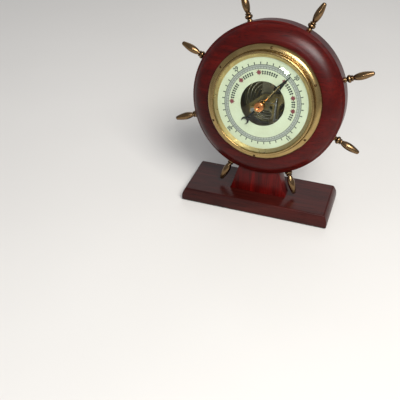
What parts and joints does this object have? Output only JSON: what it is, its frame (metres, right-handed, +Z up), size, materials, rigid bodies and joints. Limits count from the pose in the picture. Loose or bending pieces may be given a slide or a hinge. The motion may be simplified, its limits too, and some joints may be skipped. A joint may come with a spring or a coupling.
{
  "type": "ship wheel barometer",
  "caption": "Desk aneroid barometer in a turned wooden ship's wheel with brass handles, leaning back on a pedestal and moulded base; glazed open dial with pressure and set hands.",
  "frame": {"origin": "centre of the underside of the felt-covered base, on the surface it rests on", "axes": "+Z up, -Y towards the reader (the dial faces -Y and leans back 13.5 degrees), +X to the reader's right"},
  "size_m": [0.1788, 0.0665, 0.192],
  "materials": {
    "mahogany": "dark mahogany, gloss varnish",
    "felt": "matt wool felt",
    "dowel_wood": "plain beech",
    "handle_brass": "aged, dull polish",
    "bezel_brass": "polished, lacquered, a little tarnished",
    "nail_brass": "dark, aged",
    "glass": "clear, polished",
    "gilt_ring": "satin gilt",
    "knob_copper": "copper-coloured, polished",
    "fibre": "dark fibre",
    "movement_brass": "satin",
    "plate_brass": "satin, dulled",
    "set_hand_brass": "polished",
    "hand_black": "black, semi-gloss",
    "steel": "bright",
    "spring_steel": "blued and dulled",
    "capsule_metal": "dull nickel",
    "dial_enamel": "cream paint, printed",
    "case_brass": "satin, dulled"
  },
  "bodies": {
    "root": {"base_block": "mahogany", "base_felt": "felt", "pedestal": "mahogany", "pedestal_screws": "steel", "pedestal_dowels": "dowel_wood", "wheel_body": "mahogany", "handle_1": "handle_brass", "handle_2": "handle_brass", "handle_3": "handle_brass", "handle_4": "handle_brass", "handle_5": "handle_brass", "handle_6": "handle_brass", "handle_7": "handle_brass", "handle_8": "handle_brass", "bezel": "bezel_brass", "bezel_nails": "nail_brass", "crystal": "glass", "glass_ring": "gilt_ring", "dial_plate": "dial_enamel", "dial_pillars": "movement_brass", "case_can": "case_brass", "case_screws": "steel", "movement_plate": "plate_brass", "capsule_lower": "capsule_metal", "capsule_nut": "movement_brass", "spring_bracket": "plate_brass", "spring_clamp": "movement_brass", "spring_screws": "steel", "hairspring": "spring_steel", "hairspring_stud": "movement_brass", "bridge_plate": "plate_brass", "bridge_pillars": "movement_brass", "bridge_screws": "steel", "cock": "movement_brass", "cock_screw": "steel"},
    "hand": {"pressure_hand": "hand_black", "hand_arbor": "steel"},
    "setting": {"set_knob": "knob_copper", "set_hand": "set_hand_brass", "set_nut": "movement_brass", "spring_washer": "movement_brass", "knob_washer": "fibre"},
    "rocker": {"rocker_shaft": "steel"},
    "lever": {"main_spring": "spring_steel", "main_lever": "spring_steel", "lever_rivets": "movement_brass"},
    "capsule_top": {"capsule_upper": "capsule_metal", "capsule_post": "movement_brass", "knife_pin": "steel"},
    "link": {"link_rod": "steel"},
    "chain_run": {"chain": "steel"},
    "adjuster": {"adjusting_screw": "movement_brass"}
  },
  "joints": [
    {"name": "capsule_breathe", "type": "slide", "parent": "root", "child": "capsule_top", "axis": [0, -0.9724, 0.2334], "range_m": [-0.00049, 0.00088], "stiffness_N_per_m": 2000, "deforming": ["capsule_upper"]},
    {"name": "pressure_turn", "type": "hinge", "parent": "root", "child": "hand", "pos_m": [0, 0.0085, 0.1065], "axis": [0, 0.9724, -0.2334], "range_deg": [-173.7, 96.3]},
    {"name": "rocker_turn", "type": "hinge", "parent": "root", "child": "rocker", "pos_m": [0.0105, -0.00268, 0.10918], "axis": [0, 0.2334, 0.9724], "range_deg": [-17.6, 9.8]},
    {"name": "lever_tilt", "type": "hinge", "parent": "root", "child": "lever", "pos_m": [0, 0.01231, 0.13952], "axis": [1, 0, 0], "range_deg": [-1.6, 0.9], "deforming": ["main_spring"]},
    {"name": "link_rise", "type": "slide", "parent": "root", "child": "link", "axis": [0, -0.9724, 0.2334], "range_m": [-0.00075, 0.0013]},
    {"name": "chain_pull", "type": "slide", "parent": "root", "child": "chain_run", "axis": [1, 0, 0], "range_m": [-0.0022, 0.0012]},
    {"name": "set_turn", "type": "hinge", "parent": "root", "child": "setting", "pos_m": [0, 0.0085, 0.1065], "axis": [0, 0.9724, -0.2334], "continuous": true},
    {"name": "adjust_turn", "type": "hinge", "parent": "root", "child": "adjuster", "pos_m": [0, 0.02904, 0.13551], "axis": [0, 0.9724, -0.2334], "range_deg": [-360, 360]}
  ],
  "couplings": [
    {"joint": "pressure_turn", "follows": "capsule_breathe", "rad_per_m": -3463.2},
    {"joint": "rocker_turn", "follows": "capsule_breathe", "rad_per_m": -346.32},
    {"joint": "lever_tilt", "follows": "capsule_breathe", "rad_per_m": -30.303},
    {"joint": "link_rise", "follows": "capsule_breathe", "ratio": 1.4545},
    {"joint": "chain_pull", "follows": "capsule_breathe", "ratio": -2.4242}
  ]
}
